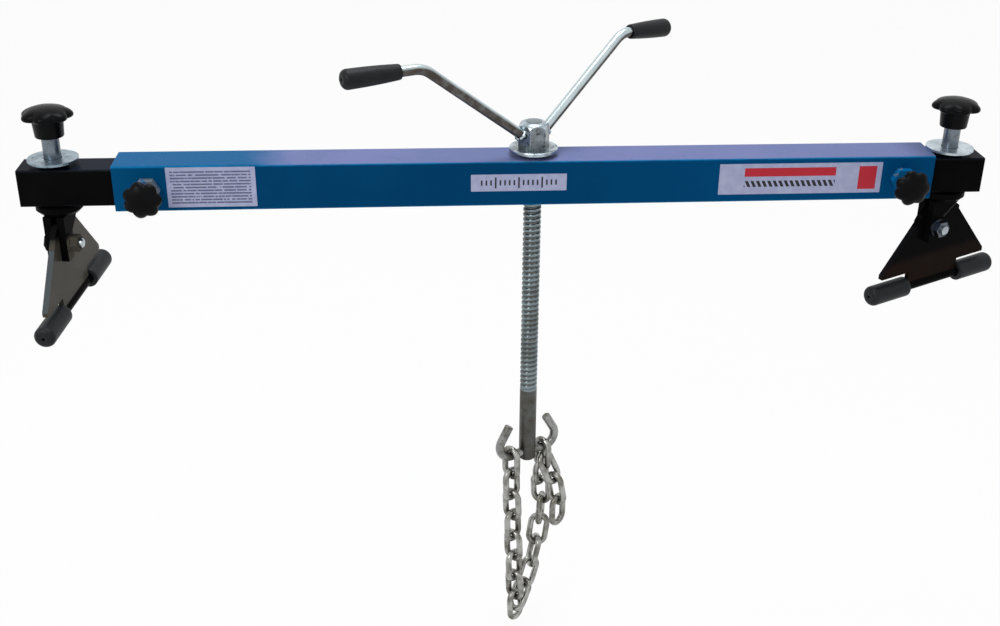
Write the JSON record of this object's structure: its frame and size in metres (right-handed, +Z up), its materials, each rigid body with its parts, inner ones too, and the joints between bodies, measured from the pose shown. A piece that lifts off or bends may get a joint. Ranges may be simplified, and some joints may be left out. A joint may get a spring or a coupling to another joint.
{
  "type": "engine support bar",
  "caption": "Telescopic beam with swivelling clamp feet, a crank-driven lifting spindle and a double hook with chain for holding an engine from above.",
  "frame": {"origin": "on the spindle's axis at the middle of the beam's cross-section", "axes": "+X along the beam to the right as seen from the labelled front, +Y to the rear, +Z up"},
  "size_m": [1.0972, 0.2414, 0.737],
  "materials": {
    "blue_paint": "gloss",
    "black_paint": "gloss",
    "zinc_steel": "bright",
    "black_rubber": "matt",
    "knob_plastic": "satin",
    "label_film": "satin"
  },
  "bodies": {
    "beam": {"beam_tube": "blue_paint", "spindle_bush": "zinc_steel", "label_left": "label_film", "label_centre": "label_film", "label_right": "label_film", "clamp_nut_left": "blue_paint", "clamp_nut_right": "blue_paint"},
    "left_arm": {"arm_left": "black_paint", "foot_bush_left": "black_paint", "foot_washer_left": "zinc_steel"},
    "left_foot": {"collar_left": "black_paint", "spigot_left": "zinc_steel", "clevis_near_left": "black_paint", "clevis_far_left": "black_paint", "pivot_bolt_left": "zinc_steel", "pivot_washer_left": "zinc_steel", "pivot_nut_left": "zinc_steel"},
    "left_foot_plate": {"foot_plate_left": "black_paint", "foot_rod_left": "black_paint", "sleeve_near_left": "black_rubber", "sleeve_far_left": "black_rubber"},
    "left_stud": {"stud_left": "zinc_steel"},
    "left_foot_knob": {"foot_knob_left": "knob_plastic"},
    "left_clamp_screw": {"clamp_screw_left": "zinc_steel"},
    "left_clamp_knob": {"clamp_knob_left": "knob_plastic"},
    "right_arm": {"arm_right": "black_paint", "foot_bush_right": "black_paint", "foot_washer_right": "zinc_steel"},
    "right_foot": {"collar_right": "black_paint", "spigot_right": "zinc_steel", "clevis_near_right": "black_paint", "clevis_far_right": "black_paint", "pivot_bolt_right": "zinc_steel", "pivot_washer_right": "zinc_steel", "pivot_nut_right": "zinc_steel"},
    "right_foot_plate": {"foot_plate_right": "black_paint", "foot_rod_right": "black_paint", "sleeve_near_right": "black_rubber", "sleeve_far_right": "black_rubber"},
    "right_stud": {"stud_right": "zinc_steel"},
    "right_foot_knob": {"foot_knob_right": "knob_plastic"},
    "right_clamp_screw": {"clamp_screw_right": "zinc_steel"},
    "right_clamp_knob": {"clamp_knob_right": "knob_plastic"},
    "crank": {"flange_washer": "zinc_steel", "crank_nut": "zinc_steel", "handle_rod_left": "zinc_steel", "handle_rod_right": "zinc_steel", "grip_left": "black_rubber", "grip_right": "black_rubber"},
    "spindle": {"spindle": "zinc_steel", "hook": "zinc_steel"},
    "chain": {"chain_left": "zinc_steel", "chain_right": "zinc_steel"},
    "chain_tail_upper": {"chain_tail_upper": "zinc_steel"},
    "chain_tail_lower": {"chain_tail_lower": "zinc_steel"}
  },
  "joints": [
    {"name": "left_arm_slide", "type": "slide", "parent": "beam", "child": "left_arm", "axis": [-1, 0, 0], "range_m": [-0.038, 0.23]},
    {"name": "left_foot_swivel", "type": "hinge", "parent": "left_arm", "child": "left_foot", "pos_m": [-0.5047, 0, -0.03], "axis": [0, 0, 1], "continuous": true},
    {"name": "left_plate_tilt", "type": "hinge", "parent": "left_foot", "child": "left_foot_plate", "pos_m": [-0.50644, -0.01238, -0.063], "axis": [0.9903, -0.1392, 0], "range_deg": [-19, 11]},
    {"name": "left_stud_slide", "type": "slide", "parent": "left_foot", "child": "left_stud", "axis": [0, 0, 1], "range_m": [-0.0232, 0]},
    {"name": "left_foot_knob_turn", "type": "hinge", "parent": "left_stud", "child": "left_foot_knob", "pos_m": [-0.5047, 0, 0.06], "axis": [0, 0, 1], "range_deg": [-4140, 0]},
    {"name": "left_clamp_slide", "type": "slide", "parent": "beam", "child": "left_clamp_screw", "axis": [0, -1, 0], "range_m": [0, 0.0077]},
    {"name": "left_clamp_knob_turn", "type": "hinge", "parent": "left_clamp_screw", "child": "left_clamp_knob", "pos_m": [-0.407, -0.05, 0], "axis": [0, -1, 0], "range_deg": [0, 1800]},
    {"name": "right_arm_slide", "type": "slide", "parent": "beam", "child": "right_arm", "axis": [1, 0, 0], "range_m": [0, 0.23]},
    {"name": "right_foot_swivel", "type": "hinge", "parent": "right_arm", "child": "right_foot", "pos_m": [0.4668, 0, -0.03], "axis": [0, 0, 1], "continuous": true},
    {"name": "right_plate_tilt", "type": "hinge", "parent": "right_foot", "child": "right_foot_plate", "pos_m": [0.45547, -0.00528, -0.063], "axis": [0.4226, -0.9063, 0], "range_deg": [-17, 13]},
    {"name": "right_stud_slide", "type": "slide", "parent": "right_foot", "child": "right_stud", "axis": [0, 0, 1], "range_m": [-0.0232, 0]},
    {"name": "right_foot_knob_turn", "type": "hinge", "parent": "right_stud", "child": "right_foot_knob", "pos_m": [0.4668, 0, 0.06], "axis": [0, 0, 1], "range_deg": [-4140, 0]},
    {"name": "right_clamp_slide", "type": "slide", "parent": "beam", "child": "right_clamp_screw", "axis": [0, -1, 0], "range_m": [0, 0.0077]},
    {"name": "right_clamp_knob_turn", "type": "hinge", "parent": "right_clamp_screw", "child": "right_clamp_knob", "pos_m": [0.407, -0.05, 0], "axis": [0, -1, 0], "range_deg": [0, 1800]},
    {"name": "crank_turn", "type": "hinge", "parent": "beam", "child": "crank", "pos_m": [0, 0, 0.04], "axis": [0, 0, 1], "range_deg": [-12960, 0]},
    {"name": "spindle_lift", "type": "slide", "parent": "beam", "child": "spindle", "axis": [0, 0, 1], "range_m": [0, 0.216]},
    {"name": "chain_swing", "type": "hinge", "parent": "spindle", "child": "chain", "pos_m": [0, 0, -0.35232], "axis": [0.8988, 0.4384, 0], "range_deg": [-20, 20]},
    {"name": "tail_upper_swing", "type": "hinge", "parent": "chain", "child": "chain_tail_upper", "pos_m": [0.0353, 0.00019, -0.39529], "axis": [0.6604, 0.7424, 0.1131], "range_deg": [-25, 0]},
    {"name": "tail_lower_swing", "type": "hinge", "parent": "chain_tail_upper", "child": "chain_tail_lower", "pos_m": [0.03939, -0.00462, -0.42426], "axis": [-0.6861, 0.6861, -0.2419], "range_deg": [-25, 25]}
  ],
  "couplings": [
    {"joint": "left_stud_slide", "follows": "left_foot_knob_turn", "m_per_rad": 0.00031831},
    {"joint": "left_clamp_slide", "follows": "left_clamp_knob_turn", "m_per_rad": 0.00023873},
    {"joint": "right_stud_slide", "follows": "right_foot_knob_turn", "m_per_rad": 0.00031831},
    {"joint": "right_clamp_slide", "follows": "right_clamp_knob_turn", "m_per_rad": 0.00023873},
    {"joint": "spindle_lift", "follows": "crank_turn", "m_per_rad": -0.00095493}
  ]
}
